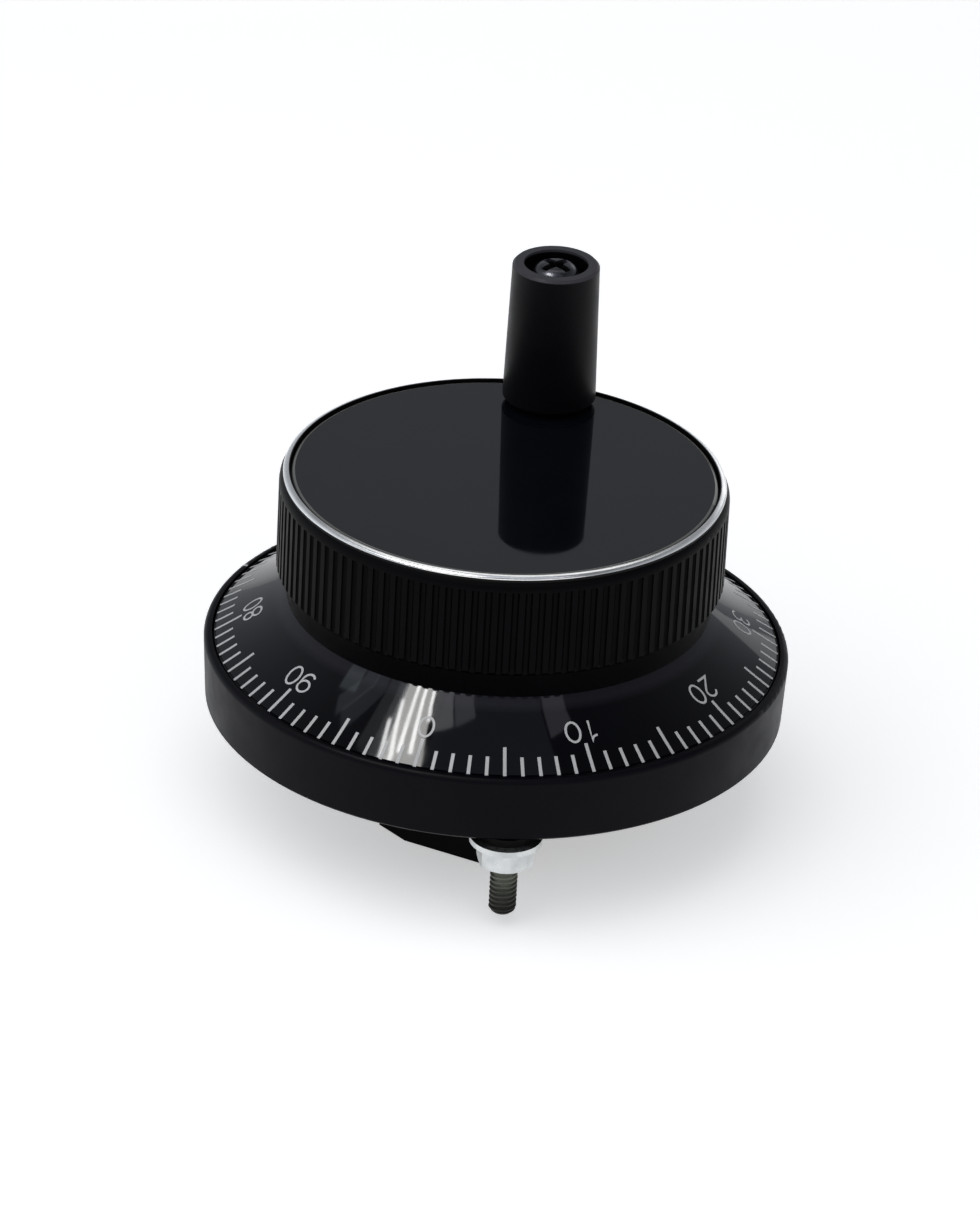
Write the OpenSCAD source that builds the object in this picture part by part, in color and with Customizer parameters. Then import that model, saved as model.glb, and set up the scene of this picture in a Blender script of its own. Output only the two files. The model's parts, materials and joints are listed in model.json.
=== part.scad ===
// Handwheel pulse generator: a dial wheel with a crank handle on a round panel-mounted housing.
// The wheel turns on two ball bearings. A toothed iron rotor that passes magnets gives the clicks,
// and a slotted disc in the housing gives one pulse per division. Six screw terminals face the rear.
// Millimetres. z = 0 is the panel face, +z points out of the panel and +y to the top of the dial.

/* [Bezel] */
// Outer diameter of the bezel
bezel_d = 80; // [79.5:0.5:90]
// Height of the bezel rim above the panel
bezel_h = 9.3; // [8.8:0.1:12]
// Width of the rim seen from the front
rim_w = 1.1; // [0.9:0.1:1.5]
// Radius on the outer edge of the rim
rim_round = 0.8; // [0.3:0.1:0.9]
// Amount by which the side narrows towards the panel
side_draft = 0.4; // [0.1:0.1:0.6]
// Thickness of the side wall below the rim
side_wall = 2.1; // [1.6:0.1:3]
// Thickness of the flange that lies on the panel
flange_t = 3; // [2:0.1:4]

/* [Rear housing] */
// Diameter of the spigot that enters the panel cut-out
spigot_d = 60.5; // [59:0.5:62]
// Depth of the spigot behind the panel
spigot_l = 4.4; // [4:0.1:8]
// Wall of the spigot round the rear cover
spigot_wall = 2; // [1.5:0.1:2.4]
// Width of each ledge that the cover and the board sit on
ledge_w = 1.4; // [1:0.1:1.6]
// Inside height of the housing above the panel
cavity_h = 6; // [5.8:0.1:6.6]
// Thickness of the housing roof
roof_t = 2.5; // [2:0.1:3]
// Thickness of the rear cover
cover_t = 1.5; // [1:0.1:1.8]
// Diameter of the cover screws
cover_screw_d = 2.5; // [2:0.1:3]
// Number of cover screws
cover_screw_n = 4; // [4:4:4]
// Side gap round the cover and the board
seat_gap = 0.1; // [0.05:0.05:0.2]

/* [Mounting studs] */
// Pitch circle of the studs
stud_pcd = 72; // [71.5:0.5:73]
// Number of studs
stud_n = 3; // [3:1:4]
// Thread diameter of the studs
stud_d = 4; // [3:0.5:4]
// Length of the studs behind the panel
stud_l = 12.7; // [10:0.1:25]
// Length of the studs held in the bezel
stud_grip = 6; // [4:0.1:6.2]
// Depth of the studs' thread
stud_thread = 0.45; // [0.4:0.05:0.6]
// Diameter of the bosses that hold the studs
stud_boss_d = 6.8; // [6:0.1:7.2]
// Outer diameter of the spring washers
spring_washer_d = 7.3; // [6.8:0.1:8]
// Thickness of the spring washers
spring_washer_t = 1.1; // [0.8:0.1:1.3]
// Outer diameter of the flat washers
flat_washer_d = 9.8; // [8:0.1:10]
// Thickness of the flat washers
flat_washer_t = 0.8; // [0.5:0.1:1]
// Width of the nuts across flats
nut_af = 7; // [6.5:0.1:8]
// Thickness of the nuts
nut_t = 3.2; // [2.2:0.1:3.4]

/* [Dial] */
// Number of divisions, rotor teeth and code slots
divisions = 100; // [60:20:100]
// Running gap between the dial and the bezel
dial_gap = 0.3; // [0.2:0.05:0.5]
// Depth of the dial edge below the rim
dial_drop = 0.2; // [0:0.1:0.5]
// Height of the dial edge
dial_edge_t = 1.2; // [0.8:0.1:1.4]
// Height of the dial cone from its edge to the knob
dial_rise = 6.8; // [6.4:0.1:9]
// Radius of the shallow cove across the cone
dial_cove_r = 90; // [60:5:200]
// Thickness of the flat web under the knob
web_t = 2; // [1.5:0.1:2.2]
// Thickness of the ring that centres the knob
register_t = 1.5; // [1:0.1:2]

/* [Knob] */
// Diameter over the ribs
knob_d = 61; // [60:0.5:63]
// Diameter of the skirt where it meets the dial
skirt_d = 58; // [57:0.5:59]
// Height of the smooth skirt
skirt_h = 3.6; // [2.5:0.1:5]
// Height of the knob from the dial to its shoulder
knob_h = 17.9; // [16.8:0.1:24]
// Thickness of the knob wall at the skirt
knob_wall = 1.6; // [1.2:0.1:2]
// Thickness of the knob top
plate_t = 2.6; // [2.3:0.1:3]
// Radius of the shoulder
shoulder_r = 1.5; // [1.3:0.1:1.8]
// Number of grip ribs
ribs = 108; // [72:1:120]
// Radius of the grooves between the ribs
groove_r = 0.48; // [0.3:0.02:0.6]
// Number of stiffening webs inside
spokes = 6; // [6:3:9]
// Thickness of the stiffening webs
spoke_t = 1.6; // [1:0.1:2.5]
// Width of the bright trim ring
trim_w = 0.75; // [0.6:0.05:1.2]
// Height of the bright trim ring
trim_h = 1.6; // [1.2:0.1:1.6]
// Thickness of the top disc
disc_t = 1; // [0.6:0.1:1.2]

/* [Handle] */
// Distance of the handle from the wheel axis
handle_r = 24.2; // [21:0.1:24.4]
// Direction of the handle from +x
handle_at = 12.8; // [0:0.2:30]
// Diameter of the handle at its foot
handle_foot_d = 12.9; // [11:0.1:13.5]
// Diameter of the handle at its top
handle_top_d = 12; // [11:0.1:13]
// Length of the handle
handle_l = 20.25; // [15:0.05:35]
// Diameter of the recess in the top of the handle
recess_d = 8.9; // [8.2:0.1:9.5]
// Depth of the recess
recess_l = 3.2; // [2.4:0.1:5]
// Diameter of the shoulder screw that the handle turns on
spindle_d = 6; // [5:0.1:6.4]
// Thread diameter of the shoulder screw
spindle_thread_d = 4; // [3:0.5:4.5]
// Thickness of the washer under the handle
foot_washer_t = 0.7; // [0.5:0.1:1.5]
// Running clearance of the handle
handle_play = 0.05; // [0.03:0.01:0.1]

/* [Bearings] */
// Shaft diameter
shaft_d = 6; // [5.5:0.1:6.4]
// Outer diameter of the ball bearings
bearing_d = 15; // [14.6:0.1:16]
// Width of the ball bearings
bearing_w = 5; // [4:0.1:5.5]
// Distance between the two bearings
bearing_gap = 3; // [2:0.1:3.5]
// Ball diameter
ball_d = 2.5; // [2.2:0.1:2.6]
// Number of balls in a bearing
ball_n = 8; // [7:1:9]
// Wall of the bearing tower
tower_wall = 3; // [2:0.1:3.5]

/* [Detent] */
// Thickness of the toothed rotor
rotor_t = 2; // [1.5:0.1:2.2]
// Radial width of the toothed rotor
rotor_w = 8; // [7.6:0.1:9]
// Height of the rotor teeth
tooth_h = 0.8; // [0.5:0.1:1]
// Air gap between the teeth and the pole shoes
air_gap = 0.35; // [0.25:0.05:0.5]
// Number of pole shoes
pole_n = 2; // [2, 4]
// Thickness of the magnets
magnet_t = 1.5; // [1:0.1:2]
// Number of pole shoe teeth
pole_teeth = 5; // [3:2:5]

/* [Encoder] */
// Thickness of the circuit board
board_t = 1.6; // [1.2:0.1:1.8]
// Depth of the board's front face behind the panel plane
board_drop = 0.4; // [0.2:0.1:0.6]
// Thickness of the code disc
code_t = 0.3; // [0.2:0.05:0.5]
// Length of the slots in the code disc
slot_l = 2.3; // [1.5:0.1:2.6]
// Width of the light fork
fork_w = 8; // [6:0.1:10]
// Height of the gap in the light fork
fork_gap = 2.3; // [1.9:0.1:2.6]

/* [Terminals] */
// Number of terminals
ways = 6; // [4:1:6]
// Distance between terminals
way_pitch = 6; // [5.8:0.1:6.2]
// Thickness of the barriers between terminals
barrier_t = 1; // [0.8:0.1:1.2]
// Width of the terminal block
block_w = 17.3; // [16.3:0.1:18.5]
// Distance of the terminal block's middle below the axis
block_drop = 1.35; // [0.9:0.05:2.4]
// Reach of the terminal block behind the panel
block_l = 14.8; // [13.5:0.1:18]
// Depth of the terminal cells
cell_l = 5.4; // [5:0.1:6.5]
// Thickness of the contact plates
contact_t = 0.8; // [0.5:0.1:1]
// Diameter of the terminal screws
clamp_screw_d = 3; // [2.5:0.1:3.2]

/* [Hidden] */
$fn = 96;
eps = 0.01;

// Bezel and housing
bezel_r = bezel_d / 2;
rim_r = bezel_r - rim_w;                          // inside of the rim
spigot_r = spigot_d / 2;
cover_seat_r = spigot_r - spigot_wall;            // bore that takes the rear cover
board_seat_r = cover_seat_r - ledge_w;            // bore that takes the circuit board
cavity_r = board_seat_r - ledge_w;
roof_z = cavity_h + roof_t;                       // top of the housing roof
cover_z = cover_t - spigot_l;                     // inner face of the rear cover
board_z = -board_drop;                            // front face of the circuit board
board_back_z = board_z - board_t;
cover_screw_r = cavity_r - 1.4;
cover_boss_r = cover_screw_d / 2 + 1.3;
cover_screw_l = 3;                                // reach of the cover screws into the bosses
edge_break = 0.3;                                 // small chamfers

// Bearing stack, from the shoulder in the roof upwards
bearing_r = bearing_d / 2;
shaft_r = shaft_d / 2;
lip_t = 1;
rear_bearing_z = cavity_h + lip_t;
front_bearing_z = rear_bearing_z + bearing_w + bearing_gap;
stack_z = front_bearing_z + bearing_w;            // front face of the front bearing
ring_t = 1;                                       // thickness of the retaining ring
ring_seat = 0.4;                                  // depth of its groove
tower_z = stack_z + ring_t + 0.9;
tower_r = bearing_r + tower_wall;
sleeve_t = 1.3;                                   // wall of the collars that hold the inner races
collar_r = shaft_r + sleeve_t;
ball_path_r = (shaft_r + bearing_r) / 2 + 0.1;
ball_play = 0.05;
race_inner_r = ball_path_r - 0.75;                // shoulders of the inner and the outer race
race_outer_r = ball_path_r + 0.75;

// Dial and knob
dial_r = rim_r - dial_gap;
dial_z = bezel_h - dial_drop;                     // top of the dial edge
dial_low_z = dial_z - dial_edge_t;
skirt_r = skirt_d / 2;
knob_r = knob_d / 2;
knob_z = dial_z + dial_rise;                      // face where the knob stands on the dial
web_z = knob_z - web_t;                           // underside of the web
hollow_r = skirt_r - knob_wall;
shoulder_z = knob_z + knob_h;                     // top edge of the shoulder
top_sink = 0.8;
plate_top_z = shoulder_z - top_sink;              // floor under the trim ring and the disc
plate_z = plate_top_z - plate_t;                  // underside of the knob top
trim_r = knob_r - 0.5;
disc_groove = 0.4;                                // groove between the trim ring and the disc
disc_r = trim_r - trim_w - disc_groove;
disc_bevel = 0.45;
disc_bevel_t = 0.15;
disc_z = plate_top_z + disc_t;                    // visible face of the top disc
hub_r = bearing_r;
hub_z = tower_z + 0.4;
spoke_z = hub_z + 1;
web_hole_r = tower_r + 1.5;
wall_step_z = dial_low_z - 0.8;                   // step inside the bezel wall, under the dial edge

// Detent
pole_w = 3.7;                                     // radial width of the pole shoes
pole_out_r = spigot_r - 2.2;
pole_r = pole_out_r - pole_w;
rotor_r = pole_r - air_gap;                       // tips of the rotor teeth
rotor_z = web_z - rotor_t;
pole_z = roof_z + magnet_t;
pole_top_z = web_z - 0.7;
pole_mid_r = (pole_r + pole_out_r) / 2 + 0.3;
pole_screw_d = 2;
pole_head_r = 1.5;
pole_head_t = 1.2;
magnet_w = 7;
magnet_inset = 0.3;                               // magnet edge inside the pole shoe's edge

// Screws on the wheel
screw_d = 3;
screw_bite = 6;                                   // thread length of the dial screws in the knob
dial_screw_r = rotor_r - tooth_h - screw_d - 0.7;
dial_screw_at = 72.8;
dial_boss_r = screw_d / 2 + 1.7;
dial_screw_l = rotor_t + web_t + screw_bite;
hub_sink = 1.8;                                   // counterbore over the hub screw
hub_washer_r = screw_d / 2 + 2.8;
hub_washer_t = 0.5;
hub_head_r = screw_d * 0.9;
hub_head_t = 1.1;
hub_screw_l = 7;
shaft_top_z = plate_top_z - hub_sink - 0.3;
flat_depth = 0.5;                                 // drive flat on the shaft
flat_z = hub_z + 0.7;

// Encoder
code_lift = 3;
code_z = board_z + code_lift;                     // lower face of the code disc
fork_room = 4.9;                                  // room for the light fork outside the code disc
code_r = cavity_r - fork_room;
slot_r = code_r - 1;                              // outer end of the slots
code_flange_r = 8;
code_flange_t = 1;
code_hub_z = code_z + code_t;
code_nut_t = 1.6;
code_nut_af = 10;
shaft_z = code_z - code_nut_t - 0.3;
fork_in_r = slot_r - slot_l - 1.7;
fork_back_r = code_r + 0.8;
fork_out_r = cavity_r - 1.1;
fork_top_z = cavity_h - 0.5;
fork_gap_z = code_z + code_t / 2 - fork_gap / 2;

// Terminals
block_len = ways * way_pitch + barrier_t;
block_lo_y = -block_drop - block_w / 2;
block_hi_y = block_lo_y + block_w;
cell_w = way_pitch - barrier_t;
cell_z = cell_l - block_l;                        // floor of the cells
cell_back = 4.3;                                  // wall at the back of the cells
back_land = 0.3;                                  // flat on that wall before its rear face slopes
back_slope = 1.3;                                 // depth of the slope
contact_w = cell_w - 0.4;
contact_front = 1.2;                              // inset of the contact plates at the open side
contact_back = 0.2;                               // gap between them and the back wall
clamp_back = 5;                                   // distance of the screws from the back wall
clamp_y = block_hi_y - cell_back - clamp_back;
clamp_head_r = 2.3;
clamp_head_t = 1.6;
clamp_washer_t = 0.6;
clamp_screw_l = 4;
pin_w = 1;
pin_y = block_hi_y - cell_back - 1;
pin_tip = 0.8;                                    // length of the pins past the board
window_gap = 0.3;

// Studs: where a stud is held it is drawn at the middle of its thread
stud_hold_r = (stud_d - stud_thread) / 2;
nut_z = -spring_washer_t - flat_washer_t - nut_t;  // rear face of the nuts

// Handle
foot_r = handle_foot_d / 2;
top_r = handle_top_d / 2;
handle_z = disc_z + foot_washer_t + handle_play;  // foot of the handle
handle_top_z = handle_z + handle_l;
recess_z = handle_top_z - recess_l;
spindle_r = spindle_d / 2;
spindle_head_r = spindle_r + 0.5;
spindle_head_t = recess_l - 0.7;                  // the head stays below the top of the handle
spindle_dome = 1.2;
spindle_boss_r = spindle_r + 1.6;
spindle_hold = 7;                                 // thread length in the knob
foot_washer_r = spindle_r + 0.9;

black = "#17171a";
steel = "#c4c6c8";
dull_steel = "#6f716c";
brass = "#b89a52";

// Copies placed round the z axis
module ring_of(n, r, first = 0) {
    for (i = [0 : n - 1])
        rotate(first + i * 360 / n)
            translate([r, 0, 0])
                children();
}

// Rectangle from corner to corner, for turned profiles
module cell(r0, z0, r1, z1) {
    translate([r0, z0])
        square([r1 - r0, z1 - z0]);
}

// Hexagon bar with both ends chamfered
module hexagon(af, t) {
    corner = af / sqrt(3);
    cut = (corner - af / 2) * 0.9;
    intersection() {
        cylinder(r = corner, h = t, $fn = 6);
        rotate_extrude()
            polygon([[0, 0], [corner - cut, 0], [corner, cut * 0.6],
                [corner, t - cut * 0.6], [corner - cut, t], [0, t]]);
    }
}

// Pan head screw along +z: the head's top is at z = 0 and the shank points up
module pan_screw(head_r, head_t, d, l) {
    crown = head_t * 0.45;
    rotate_extrude()
        polygon([[0, 0], [head_r * 0.55, 0], [head_r * 0.85, crown * 0.35], [head_r, crown],
            [head_r, head_t], [d / 2, head_t], [d / 2, head_t + l - edge_break],
            [d / 2 - edge_break, head_t + l], [0, head_t + l]]);
}

// Teeth with straight flanks on a disc, one tooth on the +x axis
function toothed(n, r, h) = [for (i = [0 : n - 1], k = [0 : 3])
    let (a = 360 / n * (i + [-0.36, -0.18, 0.18, 0.36][k]), q = (k == 1 || k == 2) ? r : r - h)
    [q * cos(a), q * sin(a)]];

module bezel_profile() {
    difference() {
        union() {
            polygon([[spigot_r - 1, 0], [bezel_r - side_draft - edge_break, 0],
                [bezel_r - side_draft, edge_break], [bezel_r, bezel_h - rim_round],
                [bezel_r - rim_round, bezel_h - rim_round], [bezel_r - rim_round, bezel_h],
                [rim_r, bezel_h], [rim_r, wall_step_z], [bezel_r - side_wall, wall_step_z],
                [bezel_r - side_wall, flange_t], [spigot_r - 1, flange_t]]);
            translate([bezel_r - rim_round, bezel_h - rim_round])
                intersection() {
                    circle(rim_round);
                    square(rim_round);
                }
            polygon([[cavity_r, -spigot_l], [spigot_r - edge_break, -spigot_l],
                [spigot_r, edge_break - spigot_l], [spigot_r, roof_z - edge_break],
                [spigot_r - edge_break, roof_z], [cavity_r, roof_z]]);
            cell(bearing_r - 1.9, cavity_h, cavity_r + eps, roof_z);
            cell(bearing_r - 1.9, cavity_h, tower_r, tower_z);
        }
        cell(0, -spigot_l - 1, cover_seat_r, cover_z);
        cell(0, cover_z - eps, board_seat_r, board_z);
        cell(0, rear_bearing_z, bearing_r, tower_z + 1);
        cell(0, stack_z, bearing_r + ring_seat, stack_z + ring_t);
    }
}

module bezel() {
    color(black)
        difference() {
            union() {
                rotate_extrude($fn = 180)
                    bezel_profile();
                intersection() {
                    ring_of(stud_n, stud_pcd / 2, 90)
                        cylinder(d = stud_boss_d, h = wall_step_z);
                    cylinder(r = bezel_r - side_draft - edge_break, h = bezel_h);
                }
                ring_of(cover_screw_n, cover_screw_r, 45)
                    translate([0, 0, board_z])
                        cylinder(r = cover_boss_r, h = cavity_h - board_z + eps);
            }
            ring_of(stud_n, stud_pcd / 2, 90)
                translate([0, 0, -1])
                    cylinder(r = stud_hold_r, h = stud_grip + 1);
            ring_of(cover_screw_n, cover_screw_r, 45)
                translate([0, 0, board_z - 1])
                    cylinder(d = cover_screw_d, h = cover_screw_l + 1);
            ring_of(pole_n, pole_mid_r)
                translate([0, 0, roof_z - 1.8])
                    cylinder(d = pole_screw_d, h = 3);
        }
}

module rear_cover() {
    color(black)
        difference() {
            union() {
                translate([0, 0, -spigot_l])
                    cylinder(r = cover_seat_r - seat_gap, h = cover_t, $fn = 180);
                ring_of(cover_screw_n, cover_screw_r, 45)
                    translate([0, 0, cover_z - eps])
                        cylinder(r = cover_boss_r, h = board_back_z - cover_z + eps);
            }
            ring_of(cover_screw_n, cover_screw_r, 45)
                translate([0, 0, -spigot_l - 1])
                    cylinder(d = cover_screw_d, h = spigot_l);
            translate([-block_len / 2 - window_gap, block_lo_y - window_gap, -spigot_l - 1])
                cube([block_len + 2 * window_gap, block_w + 2 * window_gap, cover_t + 2]);
        }
}

module cover_screws() {
    head_t = cover_screw_d * 0.55;
    color(steel)
        ring_of(cover_screw_n, cover_screw_r, 45)
            translate([0, 0, -spigot_l - head_t])
                pan_screw(cover_screw_d * 0.9, head_t, cover_screw_d, spigot_l + board_z + cover_screw_l);
}

module pins(extra) {
    for (i = [0 : ways - 1])
        translate([(i - (ways - 1) / 2) * way_pitch - pin_w / 2, pin_y - pin_w / 2, cell_z])
            cube([pin_w, pin_w, board_z + pin_tip - cell_z + extra]);
}

module circuit_board() {
    color("#1d5a36")
        difference() {
            translate([0, 0, board_back_z])
                cylinder(r = board_seat_r - seat_gap, h = board_t, $fn = 180);
            ring_of(cover_screw_n, cover_screw_r, 45)
                translate([0, 0, board_back_z - 1])
                    cylinder(d = cover_screw_d, h = board_t + 2);
            pins(0);
        }
}

// Chip packages and capacitors: x, y, length, width and height of each
chips = [[-12, -6, 10, 4, 1.5], [11, -8, 5, 4, 1.5], [13, 9, 5, 4, 1.5], [-11, 6, 2.4, 1.4, 1],
    [-6, 12, 2.4, 1.4, 1], [7, 11, 2.4, 1.4, 1], [2, -12, 3.2, 1.8, 1.2], [-5, -14, 2.4, 1.4, 1]];

module board_components() {
    color("#26262a")
        for (c = chips)
            translate([c[0] - c[2] / 2, c[1] - c[3] / 2, board_z])
                cube([c[2], c[3], c[4]]);
}

module light_fork() {
    color("#1c1c20")
        rotate([90, 0, 90])
            translate([0, 0, -fork_w / 2])
                linear_extrude(fork_w)
                    polygon([[fork_in_r, board_z], [fork_out_r, board_z], [fork_out_r, fork_top_z],
                        [fork_in_r + edge_break, fork_top_z], [fork_in_r, fork_top_z - edge_break],
                        [fork_in_r, fork_gap_z + fork_gap], [fork_back_r, fork_gap_z + fork_gap],
                        [fork_back_r, fork_gap_z], [fork_in_r, fork_gap_z]]);
}

module each_way() {
    for (i = [0 : ways - 1])
        translate([(i - (ways - 1) / 2) * way_pitch, clamp_y, 0])
            children();
}

module terminal_block() {
    color("#141416")
        difference() {
            rotate([90, 0, 90])
                translate([0, 0, -block_len / 2])
                    linear_extrude(block_len)
                        polygon([[block_lo_y, -block_l], [block_hi_y - cell_back + back_land, -block_l],
                            [block_hi_y, back_slope - block_l], [block_hi_y, board_back_z],
                            [block_lo_y, board_back_z]]);
            for (i = [0 : ways - 1])
                translate([(i - (ways - 1) / 2) * way_pitch - cell_w / 2, block_lo_y - 1, -block_l - 1])
                    cube([cell_w, block_w - cell_back + 1, cell_l + 1]);
            each_way()
                translate([0, 0, cell_z - 1])
                    cylinder(d = clamp_screw_d, h = clamp_screw_l + 1);
            pins(0);
        }
}

module contact_plates() {
    color(brass)
        difference() {
            union() {
                for (i = [0 : ways - 1])
                    translate([(i - (ways - 1) / 2) * way_pitch - contact_w / 2,
                            block_lo_y + contact_front, cell_z - contact_t])
                        cube([contact_w, block_w - cell_back - contact_front - contact_back, contact_t]);
                pins(0);
            }
            each_way()
                translate([0, 0, cell_z - contact_t - 1])
                    cylinder(d = clamp_screw_d, h = contact_t + 2);
        }
}

module clamp_washers() {
    color(steel)
        each_way()
            translate([0, 0, cell_z - contact_t - clamp_washer_t])
                difference() {
                    translate([-contact_w / 2, -contact_w / 2, 0])
                        cube([contact_w, contact_w, clamp_washer_t]);
                    translate([0, 0, -1])
                        cylinder(d = clamp_screw_d, h = clamp_washer_t + 2);
                }
}

module clamp_screws() {
    color(steel)
        each_way()
            translate([0, 0, cell_z - contact_t - clamp_washer_t - clamp_head_t])
                pan_screw(clamp_head_r, clamp_head_t, clamp_screw_d,
                    clamp_washer_t + contact_t + clamp_screw_l);
}

module mounting_studs() {
    tip = 0.5;
    color(dull_steel)
        ring_of(stud_n, stud_pcd / 2, 90)
            rotate_extrude()
                polygon([[0, -stud_l], [stud_d / 2 - tip, -stud_l], [stud_d / 2, tip - stud_l],
                    [stud_d / 2, nut_z], [stud_hold_r, nut_z], [stud_hold_r, stud_grip], [0, stud_grip]]);
}

module spring_washers() {
    split = 0.7;
    color("#3a3a3c")
        ring_of(stud_n, stud_pcd / 2, 90)
            translate([0, 0, -spring_washer_t])
                difference() {
                    cylinder(d = spring_washer_d, h = spring_washer_t);
                    translate([0, 0, -1])
                        cylinder(d = stud_d + 0.3, h = spring_washer_t + 2);
                    rotate([0, 0, 200])
                        translate([0, -split / 2, -1])
                            cube([spring_washer_d, split, spring_washer_t + 2]);
                }
}

module flat_washers() {
    color(steel)
        ring_of(stud_n, stud_pcd / 2, 90)
            translate([0, 0, -spring_washer_t - flat_washer_t])
                difference() {
                    cylinder(d = flat_washer_d, h = flat_washer_t);
                    translate([0, 0, -1])
                        cylinder(d = stud_d + 0.3, h = flat_washer_t + 2);
                }
}

module hex_nuts() {
    nut_turn = 37;
    color(steel)
        for (i = [0 : stud_n - 1])
            rotate(90 + i * 360 / stud_n)
                translate([stud_pcd / 2, 0, nut_z])
                    difference() {
                        rotate(nut_turn - 90 - i * 360 / stud_n)
                            hexagon(nut_af, nut_t);
                        translate([0, 0, -1])
                            cylinder(r = stud_hold_r, h = nut_t + 2);
                    }
}

// Two bearings: children are drawn at the middle of each one
module each_bearing() {
    for (z = [rear_bearing_z, front_bearing_z])
        translate([0, 0, z + bearing_w / 2])
            children();
}

module outer_races() {
    color(steel)
        each_bearing()
            rotate_extrude()
                difference() {
                    cell(race_outer_r, -bearing_w / 2, bearing_r, bearing_w / 2);
                    translate([ball_path_r, 0])
                        circle(ball_d / 2 + ball_play, $fn = 48);
                }
}

module inner_races() {
    color(steel)
        each_bearing()
            rotate_extrude()
                difference() {
                    cell(shaft_r, -bearing_w / 2, race_inner_r, bearing_w / 2);
                    translate([ball_path_r, 0])
                        circle(ball_d / 2 + ball_play, $fn = 48);
                }
}

module bearing_balls() {
    color("#d8dadc")
        each_bearing()
            ring_of(ball_n, ball_path_r)
                sphere(d = ball_d, $fn = 48);
}

module ball_cages() {
    half_w = ball_d / 2 + 0.4;
    color(brass)
        each_bearing()
            difference() {
                rotate_extrude()
                    cell(ball_path_r - 0.3, -half_w, ball_path_r + 0.3, half_w);
                ring_of(ball_n, ball_path_r - ball_d / 2)
                    rotate([0, 90, 0])
                        cylinder(d = ball_d + 2 * ball_play, h = ball_d);
            }
}

module outer_spacer() {
    color("silver")
        translate([0, 0, rear_bearing_z + bearing_w])
            rotate_extrude()
                cell(bearing_r - 1.2, 0, bearing_r, bearing_gap);
}

module inner_spacer() {
    color("silver")
        translate([0, 0, rear_bearing_z + bearing_w])
            rotate_extrude()
                cell(shaft_r, 0, collar_r, bearing_gap);
}

module retaining_ring() {
    out_r = bearing_r + ring_seat;
    band = 1.2;
    ear_r = 1;
    ear_at = 16;
    color("#55565a")
        translate([0, 0, stack_z])
            difference() {
                union() {
                    difference() {
                        cylinder(r = out_r, h = ring_t);
                        translate([0, 0, -1])
                            cylinder(r = out_r - band, h = ring_t + 2);
                    }
                    for (s = [-1, 1])
                        rotate(s * ear_at)
                            translate([out_r - band - 0.2, 0, 0])
                                cylinder(r = ear_r, h = ring_t);
                }
                translate([0, 0, -1])
                    linear_extrude(ring_t + 2)
                        polygon([[0, 0], [out_r * 2, -tan(ear_at - 7) * out_r * 2],
                            [out_r * 2, tan(ear_at - 7) * out_r * 2]]);
                for (s = [-1, 1])
                    rotate(s * ear_at)
                        translate([out_r - band - 0.2, 0, -1])
                            cylinder(r = 0.45, h = ring_t + 2);
            }
}

module detent_magnets() {
    color("#8d8f92")
        ring_of(pole_n, (pole_r + pole_out_r) / 2)
            difference() {
                translate([magnet_inset - pole_w / 2, -magnet_w / 2, roof_z])
                    cube([pole_w - 2 * magnet_inset, magnet_w, magnet_t]);
                translate([0.3, 0, roof_z - 1])
                    cylinder(d = pole_screw_d, h = magnet_t + 2);
            }
}

module pole_outline() {
    pitch = 360 / divisions;
    half = pole_teeth * pitch / 2;
    reach = pole_out_r * 1.2;
    difference() {
        intersection() {
            circle(pole_out_r, $fn = 180);
            polygon([[0, 0], [reach, -reach * tan(half)], [reach, reach * tan(half)]]);
        }
        circle(pole_r, $fn = 180);
        for (i = [0 : pole_teeth])
            rotate((i - pole_teeth / 2) * pitch)
                translate([pole_r, 0])
                    square([2 * tooth_h, pole_r * sin(pitch) * 0.5], center = true);
    }
}

module pole_shoes() {
    color("#77797d")
        ring_of(pole_n, 0)
            difference() {
                translate([0, 0, pole_z])
                    linear_extrude(pole_top_z - pole_z)
                        pole_outline();
                translate([pole_mid_r, 0, pole_z - 1])
                    cylinder(d = pole_screw_d, h = pole_top_z);
                translate([pole_mid_r, 0, pole_top_z - pole_head_t - 0.1])
                    cylinder(r = pole_head_r, h = pole_head_t + 1);
            }
}

module pole_screws() {
    shank = pole_top_z - pole_head_t - 0.1 - roof_z + 1.8;
    color(steel)
        ring_of(pole_n, pole_mid_r)
            translate([0, 0, pole_top_z - 0.1])
                mirror([0, 0, 1])
                    pan_screw(pole_head_r, pole_head_t, pole_screw_d, shank);
}

module knob_profile() {
    difference() {
        union() {
            polygon([[0, knob_z], [skirt_r, knob_z], [knob_r - 0.7, knob_z + skirt_h],
                [knob_r, knob_z + skirt_h + 0.7], [knob_r, shoulder_z - shoulder_r],
                [0, shoulder_z - shoulder_r]]);
            cell(0, shoulder_z - shoulder_r - eps, knob_r - shoulder_r, shoulder_z);
            translate([knob_r - shoulder_r, shoulder_z - shoulder_r])
                circle(shoulder_r, $fn = 64);
        }
        cell(-1, knob_z - 1, hollow_r, plate_z);
        cell(-1, plate_top_z, trim_r, shoulder_z + 1);
    }
}

module knob_inside() {
    translate([0, 0, hub_z])
        cylinder(r = hub_r, h = plate_z - hub_z + eps);
    translate([0, 0, stack_z])
        cylinder(r = collar_r, h = hub_z - stack_z + eps);
    ring_of(3, dial_screw_r, dial_screw_at)
        translate([0, 0, knob_z])
            cylinder(r = dial_boss_r, h = plate_z - knob_z + eps);
    rotate(handle_at)
        translate([handle_r, 0, plate_z - spindle_hold + plate_t])
            cylinder(r = spindle_boss_r, h = spindle_hold - plate_t + eps);
    for (i = [0 : spokes - 1])
        rotate(handle_at + i * 360 / spokes)
            translate([shaft_r + 1, -spoke_t / 2, spoke_z])
                cube([hollow_r - shaft_r, spoke_t, plate_z - spoke_z + eps]);
}

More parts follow.
